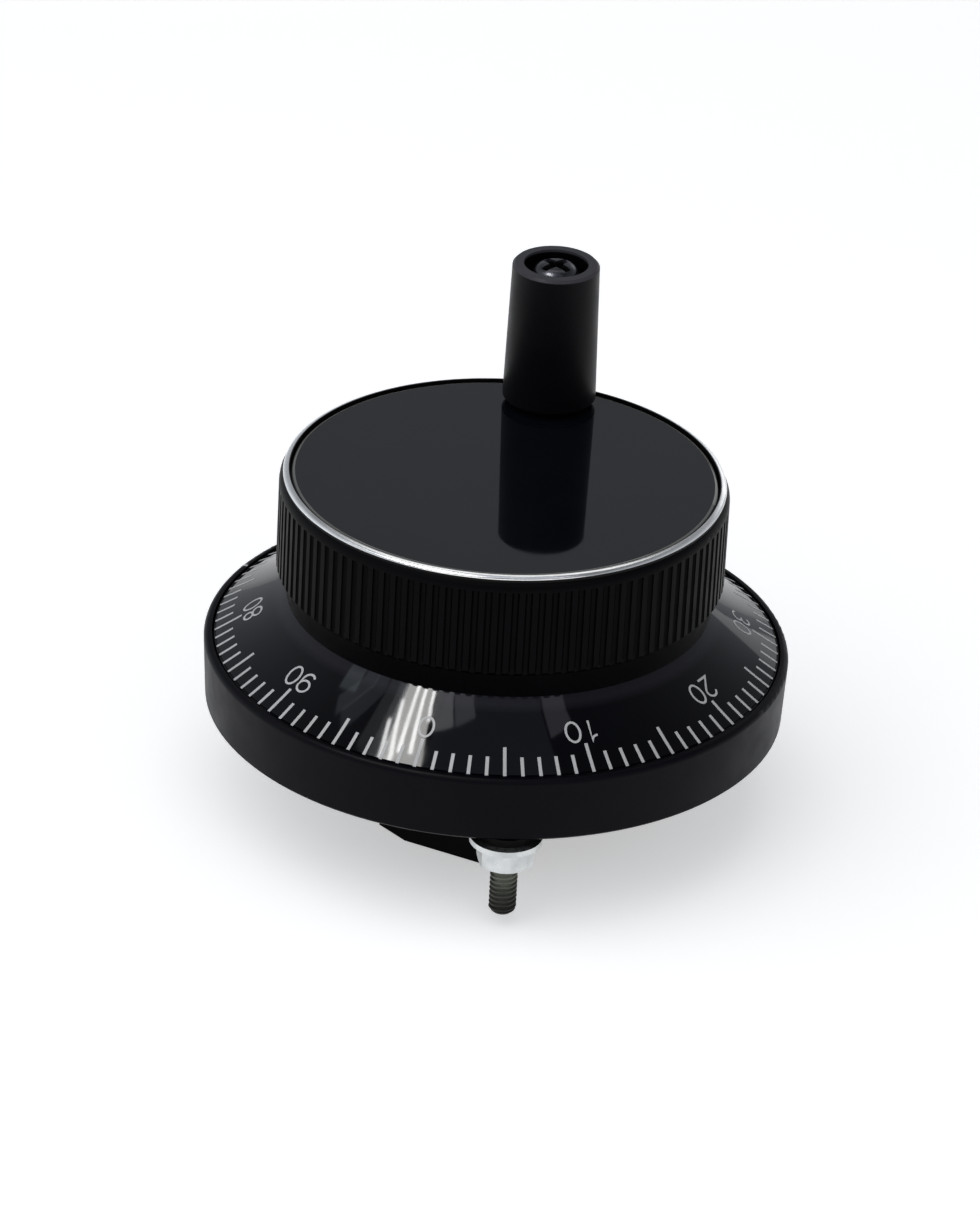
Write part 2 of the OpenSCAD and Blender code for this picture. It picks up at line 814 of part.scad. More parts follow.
// Round bar with a flat, for the end of the shaft and its seat
module drive_bar(r, z0, z1) {
    difference() {
        translate([0, 0, z0])
            cylinder(r = r, h = z1 - z0);
        translate([r - flat_depth, -r, z0 - 1])
            cube([r, 2 * r, z1 - z0 + 2]);
    }
}

module knob_grip() {
    color(black)
        difference() {
            union() {
                rotate_extrude($fn = 180)
                    knob_profile();
                knob_inside();
            }
            translate([0, 0, knob_z + skirt_h - 0.5])
                linear_extrude(knob_h - skirt_h - shoulder_r + 0.4)
                    for (i = [0 : ribs - 1])
                        rotate(i * 360 / ribs)
                            translate([knob_r + 0.03, 0])
                                circle(groove_r, $fn = 16);
            translate([0, 0, stack_z - 1])
                cylinder(r = shaft_r, h = flat_z - stack_z + 1);
            drive_bar(shaft_r, flat_z - eps, plate_top_z);
            translate([0, 0, plate_top_z - hub_sink])
                cylinder(r = hub_washer_r + 0.2, h = hub_sink + 1);
            ring_of(3, dial_screw_r, dial_screw_at)
                translate([0, 0, knob_z - 1])
                    cylinder(d = screw_d, h = screw_bite + 1);
            rotate(handle_at)
                translate([handle_r, 0, plate_top_z - spindle_hold])
                    cylinder(d = spindle_thread_d, h = spindle_hold + 1);
        }
}

// Centre of the cove arc through the dial edge and the foot of the skirt
dial_run = dial_r - skirt_r;
dial_chord = sqrt(dial_run * dial_run + dial_rise * dial_rise);
cove_back = sqrt(dial_cove_r * dial_cove_r - dial_chord * dial_chord / 4);
cove_x = (dial_r + skirt_r) / 2 + cove_back * dial_rise / dial_chord;
cove_z = dial_z + dial_rise / 2 + cove_back * dial_run / dial_chord;

module dial_profile() {
    under = dial_edge_t + 0.8;
    difference() {
        polygon([[web_hole_r, web_z], [skirt_r + 1.2, web_z], [dial_r - 0.8, dial_low_z],
            [dial_r, dial_low_z], [dial_r, dial_z], [dial_r, knob_z], [web_hole_r, knob_z]]);
        translate([cove_x, cove_z])
            circle(dial_cove_r, $fn = 720);
        cell(dial_r - under / 8, dial_z, dial_r + 1, knob_z + 1);
    }
    cell(hollow_r - register_t - 0.1, knob_z - eps, hollow_r - 0.1, knob_z + register_t);
}

module dial_ring() {
    color(black)
        difference() {
            rotate_extrude($fn = 180)
                dial_profile();
            ring_of(3, dial_screw_r, dial_screw_at)
                translate([0, 0, web_z - 1])
                    cylinder(d = screw_d, h = web_t + 2);
            rotate(handle_at)
                translate([handle_r, 0, knob_z])
                    cylinder(r = spindle_boss_r + 0.3, h = register_t + 1);
        }
}

module trim_ring() {
    land = 0.1;
    low = trim_h - 0.9;
    color("#e4e6e8")
        rotate_extrude($fn = 180)
            polygon([[trim_r - trim_w, plate_top_z], [trim_r, plate_top_z], [trim_r, plate_top_z + low],
                [trim_r - trim_w + land, plate_top_z + trim_h], [trim_r - trim_w, plate_top_z + trim_h]]);
}

module top_disc() {
    color("#0c0d10")
        difference() {
            rotate_extrude($fn = 180)
                polygon([[0, plate_top_z], [disc_r, plate_top_z], [disc_r, disc_z - disc_bevel_t],
                    [disc_r - disc_bevel, disc_z], [0, disc_z]]);
            rotate(handle_at)
                translate([handle_r, 0, plate_top_z - 1])
                    cylinder(r = spindle_r + handle_play, h = disc_t + 2);
        }
}

module shaft() {
    color(steel)
        difference() {
            union() {
                translate([0, 0, shaft_z])
                    cylinder(r1 = shaft_r - edge_break, r2 = shaft_r, h = edge_break);
                translate([0, 0, shaft_z + edge_break])
                    cylinder(r = shaft_r, h = flat_z - shaft_z - edge_break);
                drive_bar(shaft_r, flat_z - eps, shaft_top_z);
            }
            translate([0, 0, shaft_top_z - hub_screw_l])
                cylinder(d = screw_d, h = hub_screw_l + 1);
        }
}

module hub_washer() {
    color(steel)
        translate([0, 0, plate_top_z - hub_sink])
            difference() {
                cylinder(r = hub_washer_r, h = hub_washer_t);
                translate([0, 0, -1])
                    cylinder(d = screw_d, h = hub_washer_t + 2);
            }
}

module hub_screw() {
    head_z = plate_top_z - hub_sink + hub_washer_t + hub_head_t;
    color(steel)
        translate([0, 0, head_z])
            mirror([0, 0, 1])
                pan_screw(hub_head_r, hub_head_t, screw_d,
                    head_z - hub_head_t - shaft_top_z + hub_screw_l - 0.5);
}

module countersunk(d, l, grow = 0) {
    head_t = d * 0.55;
    rotate_extrude()
        polygon([[0, -grow], [d * 0.95, -grow], [d * 0.95, 0], [d / 2, head_t], [d / 2, l], [0, l]]);
}

module detent_rotor() {
    color("#808388")
        translate([0, 0, rotor_z])
            difference() {
                linear_extrude(rotor_t)
                    difference() {
                        polygon(toothed(divisions, rotor_r, tooth_h));
                        circle(rotor_r - rotor_w);
                    }
                ring_of(3, dial_screw_r, dial_screw_at)
                    countersunk(screw_d, rotor_t + 1, 1);
            }
}

module dial_screws() {
    color(steel)
        ring_of(3, dial_screw_r, dial_screw_at)
            translate([0, 0, rotor_z])
                countersunk(screw_d, dial_screw_l);
}

module code_hub() {
    color(brass)
        rotate_extrude()
            union() {
                cell(shaft_r, code_hub_z, code_flange_r, code_hub_z + code_flange_t);
                cell(shaft_r, code_hub_z, collar_r, rear_bearing_z);
            }
}

module code_disc() {
    slot_w = 0.5 * slot_r * sin(360 / divisions);
    color("#b9bcc0")
        translate([0, 0, code_z])
            linear_extrude(code_t)
                difference() {
                    circle(code_r, $fn = 180);
                    circle(shaft_r);
                    for (i = [0 : divisions - 1])
                        rotate(i * 360 / divisions)
                            translate([slot_r - slot_l, -slot_w / 2])
                                square([slot_l, slot_w]);
                }
}

module disc_nut() {
    color(brass)
        translate([0, 0, code_z - code_nut_t])
            difference() {
                hexagon(code_nut_af, code_nut_t);
                translate([0, 0, -1])
                    cylinder(r = shaft_r, h = code_nut_t + 2);
            }
}

// Moves its children from the wheel axis to the handle axis
module at_handle() {
    rotate(handle_at)
        translate([handle_r, 0, 0])
            children();
}

module handle_screw() {
    head_z = recess_z + 2 * handle_play;
    head_top = head_z + spindle_head_t;
    color("#4a4b4e")
        at_handle()
            rotate_extrude()
                polygon([[0, plate_top_z - spindle_hold], [spindle_thread_d / 2, plate_top_z - spindle_hold],
                    [spindle_thread_d / 2, plate_top_z], [spindle_r, plate_top_z], [spindle_r, head_z],
                    [spindle_head_r, head_z], [spindle_head_r, head_top - spindle_dome],
                    [spindle_head_r * 0.92, head_top - spindle_dome * 0.55],
                    [spindle_head_r * 0.74, head_top - spindle_dome * 0.22],
                    [spindle_head_r * 0.45, head_top], [0, head_top]]);
}

module foot_washer() {
    color("#2a2a2d")
        at_handle()
            rotate_extrude()
                cell(spindle_r + handle_play, disc_z, foot_washer_r, disc_z + foot_washer_t);
}

module handle_grip() {
    foot_edge = 0.4;
    top_edge = 0.35;
    color(black)
        at_handle()
            rotate_extrude()
                difference() {
                    polygon([[0, handle_z], [foot_r - foot_edge, handle_z],
                        [foot_r, handle_z + foot_edge], [top_r, handle_top_z - top_edge],
                        [top_r - top_edge, handle_top_z], [0, handle_top_z]]);
                    cell(-1, handle_z - 1, spindle_r + handle_play, handle_top_z);
                    cell(-1, recess_z, recess_d / 2, handle_top_z + 1);
                }
}

bezel();
rear_cover();
cover_screws();
circuit_board();
board_components();
light_fork();
terminal_block();
contact_plates();
clamp_washers();
clamp_screws();
mounting_studs();
spring_washers();
flat_washers();
hex_nuts();
outer_races();
bearing_balls();
ball_cages();
outer_spacer();
retaining_ring();
detent_magnets();
pole_shoes();
pole_screws();
knob_grip();
dial_ring();
trim_ring();
top_disc();
shaft();
hub_washer();
hub_screw();
inner_races();
inner_spacer();
detent_rotor();
dial_screws();
code_hub();
code_disc();
disc_nut();
handle_screw();
foot_washer();
handle_grip();
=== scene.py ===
"""Looks for the pulse generator handwheel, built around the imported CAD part.

The solids stay as they are. This script adds what they leave out: the printed dial and index mark,
the bright cut of the trim ring, the threads on the studs and the cross recesses of the screws. It gives
every piece its material, and sets the camera, the floor and the lights. Lengths are in millimetres up
to MM, and lamps are placed in metres.
"""

import json
import math

import bmesh
import bpy
from mathutils import Matrix, Vector


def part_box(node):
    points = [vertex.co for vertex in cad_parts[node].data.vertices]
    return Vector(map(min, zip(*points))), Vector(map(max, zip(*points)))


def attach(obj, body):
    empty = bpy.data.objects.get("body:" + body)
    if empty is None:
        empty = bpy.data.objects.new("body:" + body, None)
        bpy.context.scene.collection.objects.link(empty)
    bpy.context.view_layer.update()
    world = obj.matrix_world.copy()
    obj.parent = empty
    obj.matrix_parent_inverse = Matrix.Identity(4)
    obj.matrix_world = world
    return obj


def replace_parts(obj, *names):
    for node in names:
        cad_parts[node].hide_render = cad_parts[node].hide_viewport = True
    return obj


MM = 0.001
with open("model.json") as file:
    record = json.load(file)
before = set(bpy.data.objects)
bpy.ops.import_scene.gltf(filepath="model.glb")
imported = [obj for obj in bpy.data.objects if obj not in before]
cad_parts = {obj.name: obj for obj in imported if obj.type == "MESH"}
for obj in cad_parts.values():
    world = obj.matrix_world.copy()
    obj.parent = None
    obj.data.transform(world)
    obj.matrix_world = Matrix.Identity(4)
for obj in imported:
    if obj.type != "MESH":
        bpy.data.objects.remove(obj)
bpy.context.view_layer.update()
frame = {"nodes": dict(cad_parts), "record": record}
nodes = frame["nodes"]

# ---------------------------------------------------------------- sizes, as the CAD source has them
DIAL_R = 38.6             # outer edge of the dial's cone
DIAL_Z = 9.1
SKIRT_R = 29.0            # where the cone meets the knob's skirt
KNOB_Z = 15.9
COVE_R = 90.0             # radius of the cone's slight hollow
BEZEL_R = 40.0
BEZEL_H = 9.3
RIM_R = 38.9              # inner edge of the bezel's rim
RIM_ROUND = 0.8
PLATE_Z = 33.0            # the knob's floor under the disc, where the handle's screw ends its shoulder
STUD_PCD = 72.0
STUD_AT = 90
STUD_TIP_Z = -12.7
STUD_HOLD_R = 1.775       # mean radius of the thread, in the nut and in the bezel
STUD_HOLD_Z = -5.1        # rear face of the nut
STUD_END_Z = 6.0
THREAD_PITCH = 0.7
TERMINALS = 6
TERMINAL_PITCH = 6
CLAMP_Y = -2.0
CLAMP_TOP_Z = -12.4       # top of the clamp screws' heads, which face the rear
COVER_SCREW_R = 24.05
COVER_SCREW_Z = -5.775
HANDLE_R = 24.2           # the handle's axis from the wheel's, and its angle
HANDLE_AT = 12.8
SHOULDER_R = 3.0
SHANK_R = 2.0
DIVISIONS = 100

# ---------------------------------------------------------------- sizes that only the scene has
ZERO_AT = -169.2          # angle of the dial's 0 at rest
PRINT_T = 0.03
TICK_W = 0.46
TICK_START = 0.12         # ticks and numbers are measured up the cone from the dial's edge
TICK_SHORT = 2.95
TICK_LONG = 4.42
NUMBER_START = 4.62
DIGIT_H = 2.88            # one unit of the digits' drawing, up and across
DIGIT_W = 3.1
DIGIT_BOX = 0.62          # a digit's width in those units
DIGIT_GAP = 0.7
STROKE = 0.32
INDEX_W = 0.5
INDEX_START = 0.05        # gap from the rim's inner edge
INDEX_DOWN = 2.4          # reach down the rim's side
INDEX_DRAFT = 0.13        # how far the side leans in down there
DISC_HIGHLIGHT_IN = 28.4       # painted highlight, a pale line at the top disc's edge
DISC_HIGHLIGHT_OUT = 28.7
DIAL_SHEEN_R = 30.4        # painted sheen: the dial is painted paler inside this
THREAD_R = 1.86
THREAD_DEPTH = 0.3
TIP_CHAMFER = 0.55
HEAD_R = 3.4              # head of the handle's screw
HEAD_T = 2.8
HEAD_FLAT_R = 1.5
HEAD_ROUND = 1.9
HEAD_RISE = 0.5           # how far it stands over the solid's
RECESS_AT = 71
CENTRE_R = 0.02           # smallest ring of a turned piece, closed by one face
FLOOR_Z = -15.0
FLOOR_SIZE = 6.0          # half its width, in metres
FLOOR_GLOW = 0.45

# ---------------------------------------------------------------- camera
TOWARDS = Vector((-0.9003, -0.4352, 0)).normalized()
SIDE = Vector((-TOWARDS.y, TOWARDS.x, 0))
CAMERA_TARGET = Vector((-0.481, 0.995, 13.778)) * MM
CAMERA_DISTANCE = 916.9 * MM
CAMERA_ELEVATION = math.radians(27.94)
CAMERA_ROLL = math.radians(3.057)


def add_camera():
    """The camera stands on the TOWARDS side of the part, and SIDE is to its right."""
    back = TOWARDS * math.cos(CAMERA_ELEVATION) + Vector((0, 0, math.sin(CAMERA_ELEVATION)))
    upright = back.cross(SIDE)
    right = SIDE * math.cos(CAMERA_ROLL) + upright * math.sin(CAMERA_ROLL)
    up = upright * math.cos(CAMERA_ROLL) - SIDE * math.sin(CAMERA_ROLL)
    data = bpy.data.cameras.new("camera")
    data.lens = 199.15
    data.sensor_width = 36
    data.clip_start = 0.05
    data.clip_end = 20
    cam = bpy.data.objects.new("camera", data)
    bpy.context.scene.collection.objects.link(cam)
    turn = Matrix((right, up, back)).transposed()
    cam.matrix_world = Matrix.Translation(CAMERA_TARGET + back * CAMERA_DISTANCE) @ turn.to_4x4()
    bpy.context.scene.camera = cam


add_camera()


# ---------------------------------------------------------------- materials
def material(name, color, rough, metal=0.0, specular=0.5):
    """A principled material; the helpers below add its grain and variation."""
    mat = bpy.data.materials.new(name)
    mat.use_nodes = True
    shader = mat.node_tree.nodes["Principled BSDF"]
    shader.inputs["Base Color"].default_value = (*color, 1)
    shader.inputs["Roughness"].default_value = rough
    shader.inputs["Metallic"].default_value = metal
    shader.inputs["Specular IOR Level"].default_value = specular
    return mat


def link(owner, a, b):
    """Joins two sockets of a material or of the world."""
    owner.node_tree.links.new(a, b)


def add_node(owner, kind, **values):
    """A shader node with its sockets or settings set by name."""
    made = owner.node_tree.nodes.new(kind)
    for key, value in values.items():
        if key in made.inputs:
            made.inputs[key].default_value = value
        else:
            setattr(made, key, value)
    return made


def noise(mat, scale, detail=3.0):
    """Noise in object space, with about scale blots to a metre."""
    coord = add_node(mat, "ShaderNodeTexCoord")
    tex = add_node(mat, "ShaderNodeTexNoise", Scale=scale, Detail=detail)
    link(mat, coord.outputs["Object"], tex.inputs["Vector"])
    return tex.outputs["Fac"]


def ramp(owner, source, low, high, start=0, end=1):
    """Takes source from low..high to start..end and holds it beyond."""
    made = add_node(owner, "ShaderNodeMapRange")
    for key, value in zip(("From Min", "From Max", "To Min", "To Max"), (low, high, start, end)):
        made.inputs[key].default_value = value
    link(owner, source, made.inputs["Value"])
    return made.outputs["Result"]


def combine(owner, operation, a, b):
    """What one math node makes of two sockets."""
    made = add_node(owner, "ShaderNodeMath", operation=operation)
    link(owner, a, made.inputs[0])
    link(owner, b, made.inputs[1])
    return made.outputs["Value"]


def vary(mat, source, dark, light):
    """Base colour between two tones."""
    tones = add_node(mat, "ShaderNodeValToRGB")
    tones.color_ramp.elements[0].position = 0.3
    tones.color_ramp.elements[0].color = (*dark, 1)
    tones.color_ramp.elements[1].position = 0.7
    tones.color_ramp.elements[1].color = (*light, 1)
    link(mat, source, tones.inputs["Fac"])
    link(mat, tones.outputs["Color"], mat.node_tree.nodes["Principled BSDF"].inputs["Base Color"])


def roughen(mat, source, low, high):
    """Roughness between two values."""
    level = ramp(mat, source, 0.3, 0.7, low, high)
    link(mat, level, mat.node_tree.nodes["Principled BSDF"].inputs["Roughness"])


def bump(mat, source, height):
    """A relief of source, height metres deep."""
    made = add_node(mat, "ShaderNodeBump", Strength=1.0, Distance=height)
    link(mat, source, made.inputs["Height"])
    link(mat, made.outputs["Normal"], mat.node_tree.nodes["Principled BSDF"].inputs["Normal"])


def moulded(name, dark, light, rough, specular, grain=9000, depth=4e-6):
    """Moulded plastic or painted casting with a fine grain."""
    mat = material(name, dark, sum(rough) / 2, specular=specular)
    vary(mat, noise(mat, 90), dark, light)
    roughen(mat, noise(mat, 260), *rough)
    bump(mat, noise(mat, grain, detail=2), depth)
    return mat


def metal(name, dark, light, rough, depth=2e-6):
    """Plated or rolled metal with a fine grain."""
    mat = material(name, dark, sum(rough) / 2, metal=1.0)
    vary(mat, noise(mat, 400), dark, light)
    roughen(mat, noise(mat, 900), *rough)
    bump(mat, noise(mat, 4000), depth)
    return mat


def turned(name, dark, light, rough, pitch=0.12, depth=1.5e-6):
    """Metal turned about the wheel axis: fine rings across the radius."""
    mat = material(name, dark, sum(rough) / 2, metal=1.0)
    coord = add_node(mat, "ShaderNodeTexCoord")
    wave = add_node(mat, "ShaderNodeTexWave", wave_type="RINGS", rings_direction="Z")
    wave.inputs["Scale"].default_value = 0.5 / (pitch * MM) / 10
    wave.inputs["Distortion"].default_value = 0.3
    link(mat, coord.outputs["Object"], wave.inputs["Vector"])
    vary(mat, noise(mat, 500), dark, light)
    roughen(mat, noise(mat, 300), *rough)
    bump(mat, wave.outputs["Fac"], depth)
    return mat


def grey(level):
    return (level, level, level)


slots = {
    "black_casting": moulded("satin_black_paint", (0.0014, 0.0014, 0.003), (0.0026, 0.0026, 0.0044),
                             (0.36, 0.46), 0.065),
    "black_moulding": moulded("matt_black_moulding", grey(0.006), grey(0.01), (0.5, 0.62), 0.2),
    "zinc_steel": metal("zinc_plated_steel", (0.5, 0.52, 0.52), (0.68, 0.7, 0.7), (0.24, 0.38)),
    "board_green": moulded("solder_mask", (0.01, 0.08, 0.03), (0.016, 0.11, 0.045), (0.28, 0.4), 0.5),
    "chip_black": moulded("chip_epoxy", grey(0.014), grey(0.02), (0.45, 0.6), 0.4),
    "terminal_black": moulded("terminal_moulding", grey(0.0008), grey(0.0016), (0.35, 0.45), 0.04),
    "contact_brass": metal("brass", (0.55, 0.4, 0.16), (0.68, 0.52, 0.25), (0.25, 0.4)),
    "stud_steel": metal("stud_steel", (0.1, 0.105, 0.085), (0.17, 0.175, 0.145), (0.35, 0.5)),
    "dark_steel": metal("oxide_steel", grey(0.006), grey(0.012), (0.4, 0.55)),
    "bearing_steel": turned("bearing_steel", grey(0.6), grey(0.7), (0.12, 0.22)),
    "ball_chrome": metal("ball_steel", grey(0.75), grey(0.8), (0.04, 0.08), depth=2e-7),
    "spacer_aluminium": turned("turned_aluminium", grey(0.66), grey(0.74), (0.25, 0.35)),
    "magnet_nickel": metal("nickel_plate", grey(0.5), grey(0.58), (0.2, 0.32)),
    "soft_iron": turned("soft_iron", grey(0.22), grey(0.32), (0.4, 0.55)),
    "knob_black": moulded("satin_black_grip", (0.0006, 0.0006, 0.001), (0.0014, 0.0014, 0.002),
                          (0.36, 0.46), 0.045),
    "dial_gloss": moulded("gloss_black_dial", (0.001, 0.001, 0.002), (0.0016, 0.0016, 0.003),
                          (0.035, 0.06), 0.17, grain=900, depth=5e-7),
    "trim_aluminium": turned("diamond_cut_trim", (0.84, 0.84, 0.83), (0.93, 0.93, 0.92), (0.16, 0.26),
                             pitch=0.08, depth=2.5e-6),
    "disc_gloss": moulded("gloss_black_disc", (0.0022, 0.0028, 0.0044), (0.0032, 0.0038, 0.0058),
                          (0.03, 0.05), 0.4, grain=700, depth=4e-7),
    "code_steel": turned("etched_steel", grey(0.5), grey(0.6), (0.25, 0.35)),
    "screw_dark": metal("oxide_screw", (0.045, 0.045, 0.05), (0.09, 0.09, 0.1), (0.22, 0.32)),
    "washer_nylon": moulded("black_nylon", grey(0.012), grey(0.018), (0.4, 0.5), 0.4),
    "handle_black": moulded("satin_black_handle", (0.001, 0.001, 0.0018), (0.002, 0.002, 0.003),
                            (0.34, 0.42), 0.08),
}
trim_black = moulded("trim_edge_black", grey(0.002), grey(0.003), (0.35, 0.45), 0.1)
print_white = moulded("print_white", grey(0.46), grey(0.54), (0.42, 0.52), 0.4)


def tint(mat, factor, color):
    """Mixes a colour over the base colour where factor is 1."""
    shader = mat.node_tree.nodes["Principled BSDF"]
    mix = add_node(mat, "ShaderNodeMix", data_type="RGBA")
    before = shader.inputs["Base Color"].links[0].from_socket
    link(mat, factor, mix.inputs[0])
    link(mat, before, mix.inputs[6])
    mix.inputs[7].default_value = (*color, 1)
    link(mat, mix.outputs[2], shader.inputs["Base Color"])


def object_axis(mat, axis):
    """Place along one axis of the part, in metres."""
    coord = add_node(mat, "ShaderNodeTexCoord")
    split = add_node(mat, "ShaderNodeSeparateXYZ")
    link(mat, coord.outputs["Object"], split.inputs["Vector"])
    return split.outputs[axis]


def object_radius(mat):
    """Distance from the wheel's axis, in metres."""
    coord = add_node(mat, "ShaderNodeTexCoord")
    level = add_node(mat, "ShaderNodeMapping", Scale=(1, 1, 0))
    size = add_node(mat, "ShaderNodeVectorMath", operation="LENGTH")
    link(mat, coord.outputs["Object"], level.inputs["Vector"])
    link(mat, level.outputs["Vector"], size.inputs[0])
    return size.outputs["Value"]


def tint_handle_top(mat):
    """Painted light: the handle's top face is painted paler than its side, as the light from above falls
    on it.
    """
    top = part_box("handle_grip")[1].z
    share = ramp(mat, object_axis(mat, "Z"), top - 0.45 * MM, top - 0.3 * MM)
    tint(mat, share, (0.047, 0.046, 0.053))


def tint_disc_edge(mat):
    """A painted highlight: the top disc's edge gets a pale line, as light catches it there."""
    soft = 0.04
    radius = object_radius(mat)
    inner = ramp(mat, radius, (DISC_HIGHLIGHT_IN - soft) * MM, (DISC_HIGHLIGHT_IN + soft) * MM)
    outer = ramp(mat, radius, (DISC_HIGHLIGHT_OUT + soft) * MM, (DISC_HIGHLIGHT_OUT - soft) * MM)
    tint(mat, combine(mat, "MULTIPLY", inner, outer), (0.15, 0.15, 0.14))


def tint_dial_root(mat):
    """Painted sheen: the dial is painted paler close to the knob's skirt, a painted reflection of the
    glow there.
    """
    soft = 0.5
    share = ramp(mat, object_radius(mat), (DIAL_SHEEN_R + soft) * MM, (DIAL_SHEEN_R - soft) * MM)
    tint(mat, share, (0.012, 0.0115, 0.0155))


def tint_stud_tip(mat):
    """The studs are darker towards their tips."""
    share = ramp(mat, object_axis(mat, "Z"), -7 * MM, -12.5 * MM)
    tint(mat, share, (0.022, 0.022, 0.02))


tint_handle_top(slots["handle_black"])
tint_disc_edge(slots["disc_gloss"])
tint_dial_root(slots["dial_gloss"])
tint_stud_tip(slots["stud_steel"])

node_slot = {entry["node"]: entry["material_slot"] for entry in frame["record"]["subparts"]}
for name, obj in nodes.items():
    obj.data.materials.clear()
    obj.data.materials.append(slots[node_slot[name]])


# ---------------------------------------------------------------- mesh helpers
def smooth_edges(made, sharp):
    """Edges shade smooth up to sharp degrees."""
    for edge in made.edges:
        edge.smooth = len(edge.link_faces) == 2 and edge.calc_face_angle(0) < math.radians(sharp)


def new_piece(name, verts, faces, mat, body, sharp):
    """A mesh piece from points in millimetres, smooth except across edges sharper than sharp degrees."""
    mesh = bpy.data.meshes.new(name)
    mesh.from_pydata([Vector(v) * MM for v in verts], [], faces)
    mesh.update()
    mesh.materials.append(mat)
    made = bmesh.new()
    made.from_mesh(mesh)
    for face in made.faces:
        face.smooth = True
    smooth_edges(made, sharp)
    made.to_mesh(mesh)
    made.free()
    obj = bpy.data.objects.new(name, mesh)
    bpy.context.scene.collection.objects.link(obj)
    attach(obj, body)
    return obj


def turned_points(profile, columns):
    """Points of a profile of (radius, z) turned about the z axis, ring by ring."""
    points = []
    for r, z in profile:
        for k in range(columns):
            a = 2 * math.pi * k / columns
            points.append((r * math.cos(a), r * math.sin(a), z))
    return points


def side_faces(rows, columns):
    """Faces between each ring of points and the next."""
    faces = []
    for i in range(rows - 1):
        for k in range(columns):
            a = i * columns + k
            b = i * columns + (k + 1) % columns
            faces.append((a, b, b + columns, a + columns))
    return faces


def capped_faces(rows, columns):
    """Faces of a closed column of rings, with both its ends."""
    faces = side_faces(rows, columns)
    faces.append(tuple(reversed(range(columns))))
    faces.append(tuple(range((rows - 1) * columns, rows * columns)))
    return faces


# ---------------------------------------------------------------- dial surface
RUN = DIAL_R - SKIRT_R
RISE = KNOB_Z - DIAL_Z
CHORD = math.hypot(RUN, RISE)
BACK = math.sqrt(COVE_R**2 - CHORD**2 / 4)
COVE_X = (DIAL_R + SKIRT_R) / 2 + BACK * RISE / CHORD
COVE_Z = DIAL_Z + RISE / 2 + BACK * RUN / CHORD


def cone(r):
    """Height of the dial's cone at radius r, and its outward normal as (radial, z)."""
    dx = COVE_X - r
    dz = math.sqrt(COVE_R**2 - dx**2)
    return COVE_Z - dz, (dx / COVE_R, dz / COVE_R)


def cone_radius(distance):
    """Radius that lies distance along the slope, inwards from the dial's edge."""
    edge_angle = math.atan2(COVE_Z - DIAL_Z, COVE_X - DIAL_R)
    return COVE_X - COVE_R * math.cos(edge_angle - distance / COVE_R)


def on_cone(u, s, angle, lift):
    """The point u mm clockwise of a tick's line and s mm up the slope from the dial's edge."""
    r = cone_radius(s)
    z, (nr, nz) = cone(r)
    a = math.radians(angle) - math.asin(u / r)
    r += lift * nr
    return (r * math.cos(a), r * math.sin(a), z + lift * nz)


# ---------------------------------------------------------------- digits, as strokes one unit high
def arc(cx, cy, rx, ry, start, end, n):
    """Points along an ellipse about (cx, cy), from start to end degrees, in n steps."""
    out = []
    for i in range(n + 1):
        a = math.radians(start + (end - start) * i / n)
        out.append((cx + rx * math.cos(a), cy + ry * math.sin(a)))
    return out


DIGITS = {
    "0": [arc(0.31, 0.5, 0.31, 0.5, 90, 450, 28)],
    "1": [[(0.1, 0.78)] + arc(0.1, 1.02, 0.28, 0.24, -90, -8, 5)[1:] + [(0.38, 1.0), (0.38, 0.0)]],
    "2": [arc(0.31, 0.72, 0.29, 0.28, 165, -35, 12) + [(0.02, 0.0), (0.62, 0.0)]],
    "3": [arc(0.29, 0.755, 0.26, 0.245, 155, -90, 12) + arc(0.29, 0.265, 0.31, 0.265, 90, -155, 14)[1:]],
    "4": [[(0.62, 0.27), (0.0, 0.27), (0.46, 1.0), (0.46, 0.0)]],
    "5": [[(0.56, 1.0), (0.12, 1.0), (0.04, 0.48)] + arc(0.29, 0.31, 0.31, 0.31, 130, -150, 16)],
    "6": [arc(0.31, 0.31, 0.31, 0.31, 180, 540, 22) + arc(0.31, 0.64, 0.31, 0.36, 180, 40, 12)[1:]],
    "7": [[(0.0, 1.0), (0.62, 1.0), (0.34, 0.5), (0.22, 0.0)]],
    "8": [arc(0.31, 0.755, 0.25, 0.245, -90, 270, 20), arc(0.31, 0.26, 0.31, 0.26, 90, 450, 22)],
    "9": [arc(0.31, 0.69, 0.31, 0.31, 0, 360, 22) + arc(0.31, 0.36, 0.31, 0.36, 0, -140, 12)[1:]],
}


def ribbon(points, width):
    """Left and right edges of a stroke, mitred at its corners."""
    closed = math.dist(points[0], points[-1]) < 1e-6
    count = len(points)
    left, right = [], []
    for i, p in enumerate(points):
        before = points[i - 1] if i > 0 else (points[-2] if closed else None)
        after = points[i + 1] if i < count - 1 else (points[1] if closed else None)
        dirs = []
        for a, b in ((before, p), (p, after)):
            if a is not None and b is not None:
                length = math.dist(a, b)
                dirs.append(((b[0] - a[0]) / length, (b[1] - a[1]) / length))
        dx = sum(d[0] for d in dirs)
        dy = sum(d[1] for d in dirs)
        size = math.hypot(dx, dy)
        dx, dy = dx / size, dy / size
        cosine = max(dx * dirs[0][0] + dy * dirs[0][1], 0.35)
        half = width / 2 / cosine
        left.append((p[0] - dy * half, p[1] + dx * half))
        right.append((p[0] + dy * half, p[1] - dx * half))
    return left, right


def film(verts, faces, left, right, place):
    """A thin raised film between two edges, set on a surface by place(u, s, lift)."""
    first = len(verts)
    for p, q in zip(left, right):
        verts.extend((place(*p, 0.0), place(*p, PRINT_T), place(*q, PRINT_T), place(*q, 0.0)))
    for i in range(len(left) - 1):
        a = first + 4 * i
        b = a + 4
        for k in range(3):
            faces.append((a + k, b + k, b + k + 1, a + k + 1))
    last = first + 4 * (len(left) - 1)
    faces.append((first, first + 1, first + 2, first + 3))
    faces.append((last + 3, last + 2, last + 1, last))


